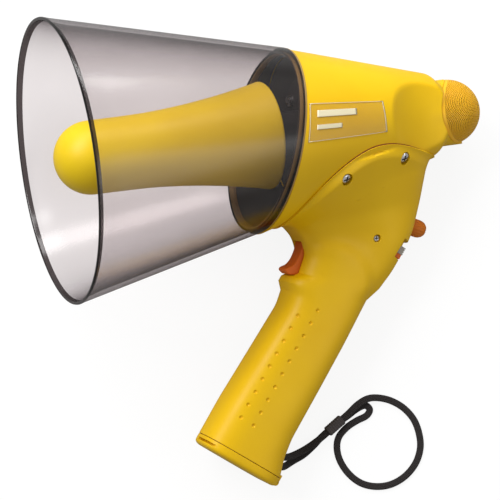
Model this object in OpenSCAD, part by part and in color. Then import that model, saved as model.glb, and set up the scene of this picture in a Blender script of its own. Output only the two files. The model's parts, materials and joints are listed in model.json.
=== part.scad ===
// Handheld megaphone lying on its side: clear reflex horn, rear housing with microphone barrel,
// pistol grip with talk trigger, battery cover, volume knob, slide switch and wrist strap.
// Every piece is built in a design frame: x runs out of the mouth with its origin at the middle of the
// mouth, y runs to the left side and z away from the grip. lay() then sets the whole object on its side.

/* [Horn] */
// outer radius of the mouth
mouth_r = 76.5; // [60:0.5:100]
// half angle of the clear horn's cone
horn_angle = 12.1; // [8:0.1:20]
// wall of the horn and of the housing
wall = 2.5; // [1.5:0.1:4]
// distance from the mouth to the middle of the slanted joint
joint_back = 122.6; // [90:0.1:150]
// slant of the joint, its top further back
joint_slant = 15.6; // [0:0.1:25]
// thickness of the gasket in the joint
gasket_t = 1.2; // [0.5:0.1:3]

/* [Reflex cone] */
// radius of its round nose
nose_r = 19.8; // [12:0.1:30]
// radius of its open rear edge
bell_r = 30; // [20:0.5:40]
// length from the nose to the rear edge
bell_length = 120; // [80:1:140]

/* [Housing] */
// half angle of the rear housing's cone
housing_angle = 14.7; // [8:0.1:25]
// end of the cone, behind the mouth
housing_end = 232; // [200:1:260]
// outer radius of the microphone barrel
barrel_r = 19.2; // [12:0.1:25]
// radius of the microphone dome
dome_r = 18.9; // [12:0.1:25]
// middle of the microphone dome, behind the mouth
dome_back = 236; // [220:1:260]

/* [Grip] */
// wall of the grip's shells
shell_t = 2.4; // [1.6:0.1:4]
// angle of the grip's own axis from straight down, swept to the mouth
grip_sweep = 38.6; // [10:0.1:50]
// half width of the grip from side to side
grip_half = 17.5; // [14:0.1:24]
// level of the battery cover's seam along the grip
cover_level = 84; // [60:0.5:100]
// thickness of the battery cover
cover_t = 6; // [3:0.1:10]

/* [Controls] */
// travel of the trigger
trigger_travel = 3.5; // [1:0.1:6]
// radius of the volume knob
knob_r = 5; // [4:0.1:9]
// travel of the slide switch
switch_travel = 4; // [2:0.1:6]

/* [Strap] */
// width of the flat strap
strap_w = 4; // [2:0.1:8]
// thickness of the flat strap
strap_t = 1.5; // [0.8:0.1:3]

/* [Hidden] */
$fn = 64;

// resting pose: tilt of the side that faces up, and where the object's base centre falls
rest_roll = 12.6;
rest_pitch = 13.06;
rest_shift = [-115.75, 58, 76.69];

joint_r = mouth_r - joint_back * tan(horn_angle);
function cone_r(x) = joint_r + (x + joint_back) * tan(housing_angle);
function horn_r(x) = mouth_r + x * tan(horn_angle);

// colours
yellow = [0.93, 0.76, 0.12];
orange = [0.85, 0.42, 0.14];
smoke = [0.62, 0.58, 0.57, 0.45];
dark = [0.16, 0.14, 0.14];
steel = [0.78, 0.78, 0.80];
black = [0.09, 0.08, 0.08];

module lay() {
    translate(rest_shift)
        rotate([rest_roll, rest_pitch, 0])
            rotate([90, 0, 180])
                children();
}

// a profile of [radius, x] points turned round the horn's axis
module turned(points) {
    rotate([0, 90, 0])
        rotate_extrude()
            polygon(points);
}

// a side outline of [x, z] points, drawn from y = low to y = high
module side_plate(points, low, high) {
    translate([0, high, 0])
        rotate([90, 0, 0])
            linear_extrude(high - low)
                polygon(points);
}

// everything behind the slanted joint plane, moved back by a distance
module behind_joint(back) {
    translate([-joint_back, 0, 0])
        rotate([0, -joint_slant, 0])
            translate([-back - 200, -150, -150])
                cube([200, 300, 300]);
}

// ---- horn ----
module clear_horn() {
    lip = 3;
    color(smoke)
    lay()
    difference() {
        turned([[mouth_r, 0], [horn_r(-150), -150], [horn_r(-150) - wall, -150],
            [horn_r(-lip) - wall, -lip - 1], [mouth_r - wall - 0.8, 0]]);
        behind_joint(0);
    }
}

module joint_gasket() {
    color(dark)
    lay()
    difference() {
        intersection() {
            turned([[joint_r + 11, 50 - joint_back], [joint_r - 9, -38 - joint_back],
                [joint_r - 9 - wall - 1.5, -38 - joint_back], [joint_r + 11 - wall - 1.5, 50 - joint_back]]);
            behind_joint(0.05);
        }
        behind_joint(gasket_t - 0.05);
    }
}

nose_x = -nose_r;
bell_points = [[20.1, -44], [20.7, -58], [22.5, -77], [25.2, -96], [28.2, -112], [bell_r, -bell_length]];
function nose_arc(r, cx) = [for (i = [0:10]) [r * sin(i * 9), cx + r * cos(i * 9)]];
rib_count = 3;
tube_r = 10;
tube_front = -34;

module reflex_cone() {
    bell_wall = 2;
    inner = [for (p = bell_points) [p[0] - bell_wall, p[1]]];
    outer_line = concat(nose_arc(nose_r, nose_x), bell_points);
    inner_line = concat(nose_arc(nose_r - bell_wall, nose_x), inner);
    reversed = [for (i = [len(inner_line) - 1:-1:0]) inner_line[i]];
    color(yellow)
    lay() {
        turned(concat(outer_line, reversed));
        for (i = [0:rib_count - 1])
            rotate([i * 360 / rib_count + 90, 0, 0])
                translate([-54, -1, tube_r + 2.05])
                    cube([19, 2, 7.1]);
    }
}

baffle_x = -146;
module sound_tube() {
    color(dark)
    lay()
        turned([[tube_r, tube_front], [tube_r + 2, tube_front], [tube_r + 2, baffle_x + 0.5],
            [tube_r + 2, baffle_x], [tube_r, baffle_x]]);
}

module throat_baffle() {
    rim_x = -141;
    rim_r = cone_r(rim_x) - wall - 0.5;
    color(dark)
    lay()
    difference() {
        turned([[tube_r + 2.05, baffle_x], [30, baffle_x], [rim_r, rim_x], [rim_r - 0.8, rim_x - 2.2],
            [31, baffle_x - 2.5], [tube_r + 2.05, baffle_x - 2.5]]);
        baffle_screw_places()
            translate([0, 0, -8])
                cylinder(r = 1.6, h = 16);
    }
}

module baffle_screw_places() {
    for (a = [45:90:315])
        rotate([a, 0, 0])
            translate([baffle_x, 0, 24])
                rotate([0, 90, 0])
                    children();
}

module baffle_screws() {
    color(steel)
    lay()
    baffle_screw_places() {
        translate([0, 0, 0.05])
            cylinder(r = 3, h = 1.8);
        translate([0, 0, -6])
            cylinder(r = 1.55, h = 6.1);
    }
}

module driver_frame() {
    back = baffle_x - 2.6;
    color(dark)
    lay()
    difference() {
        turned([[10, back], [30, back], [30, back - 3], [20, back - 9], [10, back - 9]]);
        baffle_screw_places()
            translate([0, 0, -8])
                cylinder(r = 1.6, h = 16);
    }
}

module driver_magnet() {
    back = baffle_x - 11.7;
    color(steel)
    lay()
        turned([[0, back], [21, back], [21, back - 13], [0, back - 13]]);
}

module driver_diaphragm() {
    color([0.85, 0.8, 0.7])
    lay()
        turned([[0, baffle_x - 6], [9.8, baffle_x - 3], [9.8, baffle_x - 3.6], [0, baffle_x - 6.6]]);
}

// ---- rear housing ----
scoop_x = -222;
scoop_r = 55;
scoop_shift = 16;
scoop_edge = [barrel_r + scoop_shift + scoop_r, 0];
tongue_x = -241.9;
tongue_r = 19.4;

module scoops(extra) {
    for (side = [-1, 1])
        translate([scoop_x, -side * scoop_shift, 0])
            rotate([0, 90, 0])
                rotate_extrude()
                    polygon(concat([[110, 50], [110, -8]],
                        [for (i = [-1:6]) scoop_edge - (scoop_r + extra) * [cos(i * 9), -sin(i * 9)]]));
}

module tongue(extra) {
    translate([tongue_x, 30, 0.8])
        rotate([90, 0, 0])
            cylinder(r = tongue_r + extra, h = 60);
}

module housing_solid(inset, extra) {
    difference() {
        turned([[0, 60 - joint_back], [cone_r(60 - joint_back) - inset, 60 - joint_back],
            [cone_r(-housing_end) - inset, -housing_end + inset], [0, -housing_end + inset]]);
        scoops(extra);
    }
    turned([[0, -170], [barrel_r - inset, -170], [barrel_r - inset, -dome_back - extra], [0, -dome_back - extra]]);
}

flange_screw_x = [-151.3, -192];
flange_screw_turn = -39.8;
module flange_screw_places() {
    for (side = [0, 1])
        mirror([0, side, 0])
            for (x = flange_screw_x)
                rotate([flange_screw_turn, 0, 0])
                    translate([x, cone_r(x), 0])
                        rotate([0, 0, housing_angle])
                            rotate([-90, 0, 0])
                                children();
}

module rear_housing() {
    color(yellow)
    lay()
    difference() {
        intersection() {
            housing_solid(0, 0);
            behind_joint(gasket_t);
        }
        housing_solid(wall, wall);
        tongue(0.25);
        translate([-dome_back - 22, -25, -25])
            cube([22, 50, 50]);
        flange_screw_places()
            translate([0, 0, -8])
                cylinder(r = 1.6, h = 16);
    }
}

module dome_profile(r) {
    rotate([0, 90, 0])
        rotate_extrude()
            polygon(concat([[0, -218], [r, -218]],
                [for (i = [0:12]) [r * cos(i * 7.5), -dome_back - r * sin(i * 7.5)]]));
}

module mic_grille() {
    color(yellow)
    lay()
    intersection() {
        difference() {
            dome_profile(dome_r);
            dome_profile(dome_r - 1.2);
        }
        union() {
            tongue(0);
            translate([-dome_back - 30.1, -25, -25])
                cube([30, 50, 50]);
        }
    }
}

module mic_foam() {
    color(dark)
    lay()
    difference() {
        intersection() {
            dome_profile(dome_r - 1.3);
            translate([-dome_back - 30, -25, -25])
                cube([26, 50, 50]);
        }
        translate([-dome_back, 0, 0])
            rotate([0, -90, 0])
                cylinder(r = 5.6, h = 10);
    }
}

module mic_capsule() {
    color(steel)
    lay()
        translate([-dome_back + 0.5, 0, 0])
            rotate([0, -90, 0])
                cylinder(r = 5, h = 9);
}

module mic_holder() {
    color(dark)
    lay()
        translate([-dome_back + 0.6, 0, 0])
            rotate([0, 90, 0])
                difference() {
                    cylinder(r = barrel_r - wall - 0.1, h = 3);
                    translate([8, 0, -1])
                        cylinder(r = 1.5, h = 5);
                }
}

module amp_board() {
    color([0.1, 0.35, 0.2])
    lay()
        translate([-202, -13, -7])
            cube([26, 26, 1.6]);
}

module board_parts() {
    color(black)
    lay() {
        translate([-183, -6, -5.4])
            cylinder(r = 4, h = 10);
        translate([-183, 6, -5.4])
            cylinder(r = 4, h = 10);
        translate([-198, -8, -5.4])
            cube([7, 16, 5]);
    }
}

module name_plate() {
    low = -8;
    sweep = 27;
    front = -127;
    back = -179;
    color([0.95, 0.9, 0.8, 0.5])
    lay()
        rotate([low, 0, 0])
            rotate([0, 90, 0])
                rotate([0, 0, 90])
                    rotate_extrude(angle = sweep)
                        polygon([[cone_r(front) + 0.05, front], [cone_r(front) + 0.35, front],
                            [cone_r(back) + 0.35, back], [cone_r(back) + 0.05, back]]);
}

// ---- pistol grip ----
// sections of the grip from the foot up: front point, rear point, half width, front-to-rear taper
grip_sections = [
    [[-65.1, -159.5], [-104.6, -191.0], grip_half, 0],
    [[-71.4, -151.7], [-108.1, -181.0], grip_half, 0],
    [[-78.9, -142.3], [-114.1, -170.5], grip_half, 0],
    [[-100.4, -117.5], [-134.0, -145.5], grip_half, 0],
    [[-119.6, -95.2], [-151.3, -123.4], grip_half, 0],
    [[-123.3, -87.5], [-158.2, -114.2], grip_half, 0],
    [[-122.4, -82.1], [-164.2, -106.2], grip_half, 0],
    [[-124.4, -79.7], [-168.8, -99.4], grip_half, 0],
    [[-129.5, -78.2], [-174.5, -94.8], grip_half, 0],
    [[-134.6, -68.0], [-187.2, -85.6], 18, 0],
    [[-133.0, -60.4], [-199.5, -69.8], 19, 0],
    [[-132.2, -57.8], [-202.3, -65.5], 19.5, 0.05],
    [[-126.6, -50.5], [-209.0, -48.0], 22, 0.12],
    [[-121.0, -43.0], [-212.5, -36.0], 27, 0.2],
    [[-115.0, -36.0], [-216.5, -24.0], 32, 0.3],
    [[-108.0, -25.0], [-221.0, -10.0], 37.5, 0.35]];
section_power = 2 / 3.2;
ring_n = 20;

function power(c) = sign(c) * pow(abs(c), section_power);
function ring(section, inset) =
    let (f = section[0], b = section[1], half = norm(f - b) / 2, d = (f - b) / (2 * half), c = (f + b) / 2)
    [for (i = [0:ring_n - 1])
        let (a = i * 360 / ring_n,
            p = c + d * (half - inset) * power(cos(a)),
            y = (section[2] - inset) * (1 + section[3] * power(cos(a))) * power(sin(-a)))
        [p[0], y, p[1]]];

module loft(rings) {
    n = len(rings[0]);
    last = len(rings) - 1;
    sides = [for (k = [0:last - 1]) for (i = [0:n - 1])
        let (j = (i + 1) % n)
        each [[k * n + i, k * n + j, (k + 1) * n + j], [k * n + i, (k + 1) * n + j, (k + 1) * n + i]]];
    bottom = [[for (i = [n - 1:-1:0]) i]];
    top = [[for (i = [0:n - 1]) last * n + i]];
    polyhedron([for (r = rings) each r], concat(bottom, sides, top));
}

// a place on the grip: s across it to the front, t along it to the foot
grip_n = [cos(grip_sweep), sin(grip_sweep)];
module in_grip(s, t) {
    translate([grip_n[0] * s + grip_n[1] * t, 0, grip_n[1] * s - grip_n[0] * t])
        rotate([0, -grip_sweep, 0])
            children();
}

saddle = [[-117, -85], [-119, -50], [-127, -39.5], [-136, -30.5], [-145, -23.5], [-155, -17.8],
    [-165, -13.8], [-174, -12.2], [-184, -12.6], [-195, -15], [-206, -18.8], [-217, -22.8],
    [-223, -25], [-223, -85]];
saddle_limit = [[-60, -200], [-60, -50], [-119, -50], [-127, -39.5], [-136, -30.5], [-145, -23.5],
    [-155, -17.8], [-165, -13.8], [-174, -12.2], [-184, -12.6], [-195, -15], [-206, -18.8],
    [-217, -22.8], [-232, -28], [-232, -200]];
flange_t = 1.6;

// the trigger slides along its own bottom edge
slide_tilt = 11.5;
slide = [-cos(slide_tilt), -sin(slide_tilt)];
trigger_half = 5.5;
hinge_s = -199;
hinge_t = 87.3;
knuckle_r = 1.9;
bar_s = -197;
bar_t = 75.2;

module grip_body() {
    intersection() {
        loft([for (s = grip_sections) ring(s, 0)]);
        side_plate(saddle_limit, -50, 50);
    }
    intersection() {
        turned([[0, -100], [cone_r(-100) + flange_t, -100], [cone_r(-225) + flange_t, -225], [0, -225]]);
        side_plate(saddle, -60, 60);
    }
    for (side = [-1, 1])
        translate([0, side * 7.4, 0])
            in_grip(hinge_s, hinge_t) {
                rotate([90, 0, 0])
                    cylinder(r = knuckle_r, h = 4, center = true);
                translate([-1.5, -2, 0])
                    cube([3, 4, 5]);
            }
}

// carries the cavity out through the open foot
foot_run = 2 * [sin(grip_sweep), -cos(grip_sweep)];

module grip_cavity() {
    foot = grip_sections[0];
    past_foot = [foot[0] + foot_run, foot[1] + foot_run, foot[2], foot[3]];
    cavity = [for (i = [0:len(grip_sections) - 1])
        let (s = grip_sections[i])
        if (i != 6 && i != 7 && i != 11) ring(s, shell_t)];
    difference() {
        loft(concat([ring(past_foot, shell_t)], cavity));
        for (place = shell_screw_places)
            translate([place[0], 0, place[1]])
                rotate([90, 0, 0])
                    cylinder(r = 3.4, h = 60, center = true);
        in_grip(bar_s + 2.5, bar_t)
            cube([9, 14, 16], center = true);
    }
}

shell_screw_places = [[-174.8, -64.4], [-147.5, -103.5]];

// the upper shell screw goes in from the left side and the lower one from the right
module shell_screw_heads() {
    for (i = [0, 1])
        mirror([0, i, 0])
            translate([shell_screw_places[i][0], 15.5, shell_screw_places[i][1]])
                rotate([-90, 0, 0])
                    children();
}

module grip_cuts() {
    turned([[0, -90], [cone_r(-90) + 0.05, -90], [cone_r(-250) + 0.05, -250], [0, -250]]);
    side_plate([[-134, -60.9], [-150, -64.2], [-150, -84.1], [-120, -77.95], [-120, -61.5]],
        -trigger_half - 0.4, trigger_half + 0.4);
    for (place = shell_screw_places)
        translate([place[0], 0, place[1]])
            rotate([90, 0, 0])
                cylinder(r = 1.6, h = 60, center = true);
    shell_screw_heads()
        translate([0, 0, -0.1])
            cylinder(r = 2.2, h = 9);
    in_grip(bar_s - 1.5, bar_t)
        cube([10, 9.6, 12.4], center = true);
    in_grip(bar_s, bar_t)
        rotate([90, 0, 0])
            cylinder(r = 1.3, h = 12.5, center = true);
    in_grip(hinge_s, hinge_t)
        rotate([90, 0, 0])
            cylinder(r = 0.85, h = 40, center = true);
    flange_screw_places() {
        translate([0, 0, 0.6])
            cylinder(r = 3.6, h = 15);
        translate([0, 0, -8])
            cylinder(r = 1.6, h = 16);
    }
    knob_place()
        translate([0, 0, -6])
            cylinder(r = 3.3, h = 12);
    switch_place() {
        translate([-6, -3.2, -4.6])
            cube([12, 17, 9]);
        translate([-5, -1.6, -8])
            cube([10, 3.2, 5]);
    }
}

module handle_half(side) {
    color(yellow)
    lay()
    difference() {
        grip_body();
        grip_cavity();
        grip_cuts();
        translate([-250, side > 0 ? -99.95 : -0.05, -230])
            cube([250, 100, 240]);
    }
}

module handle_left() {
    handle_half(1);
}

module handle_right() {
    handle_half(-1);
}

module flange_screws() {
    color(steel)
    lay()
    flange_screw_places() {
        translate([0, 0, 0.65])
            difference() {
                cylinder(r = 3.1, h = 2);
                for (a = [0, 90])
                    rotate([0, 0, a])
                        translate([-1.9, -0.4, 0.8])
                            cube([3.8, 0.8, 2]);
            }
        translate([0, 0, -6])
            cylinder(r = 1.55, h = 7.5);
    }
}

module shell_screws() {
    color(steel)
    lay()
    shell_screw_heads() {
        difference() {
            cylinder(r = 1.95, h = 1.6);
            for (a = [0, 90])
                rotate([0, 0, a])
                    translate([-1.2, -0.3, 0.8])
                        cube([2.4, 0.6, 1.5]);
        }
        translate([0, 0, -28])
            cylinder(r = 1.5, h = 28.2);
    }
}

// ---- trigger ----
spring_start = [-136, -71.5];
spring_length = 11.5;
module along_slide(distance) {
    translate([spring_start[0] + slide[0] * distance, 0, spring_start[1] + slide[1] * distance])
        rotate([0, -90 - slide_tilt, 0])
            children();
}

module trigger() {
    outline = [[-134.8, -61.5], [-133.9, -64], [-132.6, -67], [-130.2, -70.8], [-127, -73.6], [-123.4, -74.7],
        [-122.6, -76.2], [-124.3, -78.4], [-142, -82.1], [-142, -63]];
    color(orange)
    lay()
    difference() {
        side_plate(outline, -trigger_half, trigger_half);
        along_slide(0)
            cylinder(r = 3.4, h = 12);
    }
}

// a coil of round wire along +z
module coil(radius, wire_r, length, turns) {
    steps = 14 * turns;
    loft([for (k = [0:steps])
        let (a = k * 360 * turns / steps, z = wire_r + (length - 2 * wire_r) * k / steps)
        [for (i = [0:5])
            let (b = i * 60, r = radius + wire_r * cos(b))
            [r * cos(a), r * sin(a), z - wire_r * sin(b)]]]);
}

module trigger_spring() {
    color(steel)
    lay()
        along_slide(0.1)
            coil(2.6, 0.35, spring_length - 0.2, 5);
}

module talk_switch() {
    color(black)
    lay()
        along_slide(spring_length)
            translate([-5, -6, 0])
                cube([10, 12, 6]);
}

// ---- volume control ----
knob_tilt = 25;
module knob_place() {
    translate([-203.8, 0, -62])
        rotate([0, -90 - knob_tilt, 0])
            children();
}

module volume_knob() {
    color(orange)
    lay()
    knob_place()
    difference() {
        rotate_extrude()
            polygon([[0, 0.5], [knob_r - 0.4, 0.5], [knob_r, 1], [knob_r, 5.6], [knob_r - 0.4, 7.4],
                [knob_r - 1.4, 8.9], [knob_r - 2.8, 9.8], [0, 10.2]]);
        translate([-0.4, 1.5, 8])
            cube([0.8, 5, 3]);
        cylinder(r = 2, h = 4);
    }
}

module pot_shaft() {
    color(steel)
    lay()
    knob_place()
        translate([0, 0, -7])
            cylinder(r = 1.95, h = 10.8);
}

module volume_pot() {
    color(black)
    lay()
    knob_place()
        difference() {
            translate([0, 0, -12.5])
                cylinder(r = 6.8, h = 6);
            translate([0, 0, -8])
                cylinder(r = 2, h = 10);
        }
}

// ---- slide switch ----
switch_tilt = 38;
module switch_place() {
    translate([-194.6, 6, -75.8])
        rotate([0, -90 - switch_tilt, 0])
            children();
}

module switch_lever() {
    color(orange)
    lay()
    switch_place()
        translate([-switch_travel / 2, 0, 0]) {
            translate([-3.7, -2.9, -4.5])
                cube([7.4, 9.2, 3.3]);
            translate([-1.4, -1.4, -7.3])
                cube([2.8, 2.8, 3]);
        }
}

module switch_body() {
    color(black)
    lay()
    switch_place()
        difference() {
            translate([-6, -4.5, -12])
                cube([12, 8, 4.6]);
            translate([-4.5, -1.7, -7.9])
                cube([9, 3.4, 3]);
        }
}

// ---- batteries ----
cell_r = 7.2;
cell_pitch = 14.8;
cell_mid = -174;
cell_foot = 80.6;
cell_length = 49.4;

module cell() {
    nub = 1.1;
    cylinder(r = cell_r, h = cell_length - nub - 0.1);
    translate([0, 0, cell_length - nub - 0.2])
        cylinder(r = 2.75, h = nub);
}

// the places of a row of cells side by side: across is 1 for the front row and -1 for the rear row
module row_places(across, t) {
    for (side = [-1, 1])
        translate([0, side * cell_pitch / 2, 0])
            in_grip(cell_mid + across * cell_pitch / 2, t)
                children();
}

module battery_cells() {
    color([0.25, 0.25, 0.28])
    lay() {
        row_places(-1, cell_foot)
            cell();
        row_places(1, cell_foot)
            cell();
        row_places(1, cell_foot - cell_length)
            cell();
    }
}

module upper_contacts() {
    color(steel)
    lay() {
        in_grip(cell_mid + cell_pitch / 2, cell_foot - 2 * cell_length - 0.8)
            cube([10.5, 22, 1.4], center = true);
        in_grip(cell_mid - cell_pitch / 2, cell_foot - cell_length - 0.8)
            cube([10.5, 22, 1.4], center = true);
    }
}

cover_gap = 0.3;
module battery_cover() {
    base = grip_sections[0];
    mid = (base[0] + base[1]) / 2;
    down = [grip_n[1], -grip_n[0]];
    function level(t, inset) =
        ring([base[0] + down * (t - cover_level) - grip_n * inset,
            base[1] + down * (t - cover_level) + grip_n * inset, base[2] - inset, 0], 0);
    color(yellow)
    lay()
    difference() {
        union() {
            difference() {
                loft([level(cover_level + cover_t, 2.2), level(cover_level + cover_t - 0.8, 0.9),
                    level(cover_level + cover_t - 2.2, 0), level(cover_level + cover_gap, 0)]);
                in_grip(hinge_s - 3, hinge_t)
                    cube([11, 19.6, 10], center = true);
            }
            in_grip(hinge_s, hinge_t) {
                rotate([90, 0, 0])
                    cylinder(r = knuckle_r, h = 10, center = true);
                translate([0, -5, -1.5])
                    cube([3.2, 10, 3]);
            }
            in_grip(-154.2, cover_level)
                translate([-0.8, -4, -1])
                    cube([1.6, 8, 5]);
        }
        in_grip(hinge_s, hinge_t)
            rotate([90, 0, 0])
                cylinder(r = 0.85, h = 40, center = true);
        in_grip(-150.5, cover_level + 2.9)
            translate([-4, -4, -0.65])
                cube([8, 22, 1.3]);
    }
}

module lower_contacts() {
    color(steel)
    lay()
        in_grip(cell_mid, cover_level - 0.4)
            cube([24, 22, 1.2], center = true);
}

module cell_springs() {
    color(steel)
    lay()
        for (across = [-1, 1])
            row_places(across, cover_level - 1.1)
                coil(2.4, 0.3, 2.2, 2);
}

module hinge_pin() {
    color(steel)
    lay()
        in_grip(hinge_s, hinge_t)
            rotate([90, 0, 0])
                cylinder(r = 0.8, h = 18.6, center = true);
}

module strap_bar() {
    color(steel)
    lay()
        in_grip(bar_s, bar_t)
            rotate([90, 0, 0])
                cylinder(r = 1.25, h = 12.2, center = true);
}

// ---- wrist strap, drawn in the resting frame ----
strap_route = [
    [-18.8, -117.3, 13.9], [-15.7, -119.3, 12], [-10.5, -119.3, 7.5], [-3.5, -117.7, 4], [3, -115.2, 3.5],
    [9, -112.2, 3.6], [17.5, -107.3, 3.6], [26.2, -102.3, 3.4], [33, -98, 3], [39.5, -95.8, 2.8],
    [46, -96.5, 1.4], [53, -99.5, 0.9], [59.5, -105, 0.9], [64, -112.5, 0.9], [65.5, -121, 0.9],
    [64.5, -129.5, 0.9], [60, -137.5, 0.9], [52.5, -143.5, 0.9], [43.5, -146.5, 0.9], [34.5, -146, 0.9],
    [26.5, -142.5, 0.9], [20.5, -136, 0.9], [17, -128, 0.9], [16.5, -120.5, 0.9], [18.8, -114.3, 0.9],
    [24.5, -109.7, 0.9], [31, -107, 0.9], [37, -105.3, 0.9], [39.7, -102.2, 0.9], [37.5, -99.3, 0.9],
    [32.5, -100.3, 0.9], [26.2, -103.3, 1.4], [17.5, -107.3, 1.7], [9, -112.2, 1.7], [3, -116.5, 1.2],
    [-3.5, -120.3, 1.2], [-10.5, -122.5, 3.8], [-16.8, -124.4, 9.3], [-19.3, -123.7, 12.1], [-22.1, -121.3, 13.8]];
slider_mid = [17.5, -107.3, 2.75];
slider_turn = 30;

function smooth(p0, p1, p2, p3, u) =
    0.5 * (2 * p1 + (p2 - p0) * u + (2 * p0 - 5 * p1 + 4 * p2 - p3) * u * u
    + (3 * p1 - p0 - 3 * p2 + p3) * u * u * u);
function route_point(k, u) =
    let (n = len(strap_route) - 1)
    smooth(strap_route[max(k - 1, 0)], strap_route[k], strap_route[min(k + 1, n)], strap_route[min(k + 2, n)], u);
strap_line = concat([for (k = [0:len(strap_route) - 2]) for (u = [0, 0.5]) route_point(k, u)],
    [strap_route[len(strap_route) - 1]]);

function strap_ring(line, k) =
    let (n = len(line) - 1,
        ahead = line[min(k + 1, n)] - line[max(k - 1, 0)],
        flat = [ahead[0], ahead[1], 0] / norm([ahead[0], ahead[1]]),
        across = [-flat[1], flat[0], 0],
        up = cross(ahead / norm(ahead), across))
    [for (i = [0:7])
        let (a = i * 45 + 22.5)
        line[k] + across * cos(a) * strap_w / 2 / cos(22.5) - up * sin(a) * strap_t / 2 / sin(67.5)];

module wrist_strap() {
    color(black)
        loft([for (k = [0:len(strap_line) - 1]) strap_ring(strap_line, k)]);
}

module strap_slider() {
    color([0.28, 0.26, 0.26])
        translate(slider_mid)
            rotate([0, 0, slider_turn])
                difference() {
                    cube([11.2, 6.2, 5.4], center = true);
                    cube([12, 4.6, 3.9], center = true);
                }
}

clear_horn();
joint_gasket();
reflex_cone();
sound_tube();
throat_baffle();
baffle_screws();
driver_frame();
driver_magnet();
driver_diaphragm();
rear_housing();
mic_grille();
mic_foam();
mic_capsule();
mic_holder();
amp_board();
board_parts();
name_plate();
handle_left();
handle_right();
flange_screws();
shell_screws();
trigger();
trigger_spring();
talk_switch();
volume_knob();
pot_shaft();
volume_pot();
switch_lever();
switch_body();
battery_cells();
upper_contacts();
battery_cover();
lower_contacts();
cell_springs();
hinge_pin();
strap_bar();
wrist_strap();
strap_slider();
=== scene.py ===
"""Handheld megaphone on its side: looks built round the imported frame.

Shapes are worked out in millimetres in a design frame (x out of the mouth, y to the left side, z away from
the grip, origin in the middle of the mouth), which the record's mouth mount and cover hinge give.
"""
import json
import math

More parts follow.
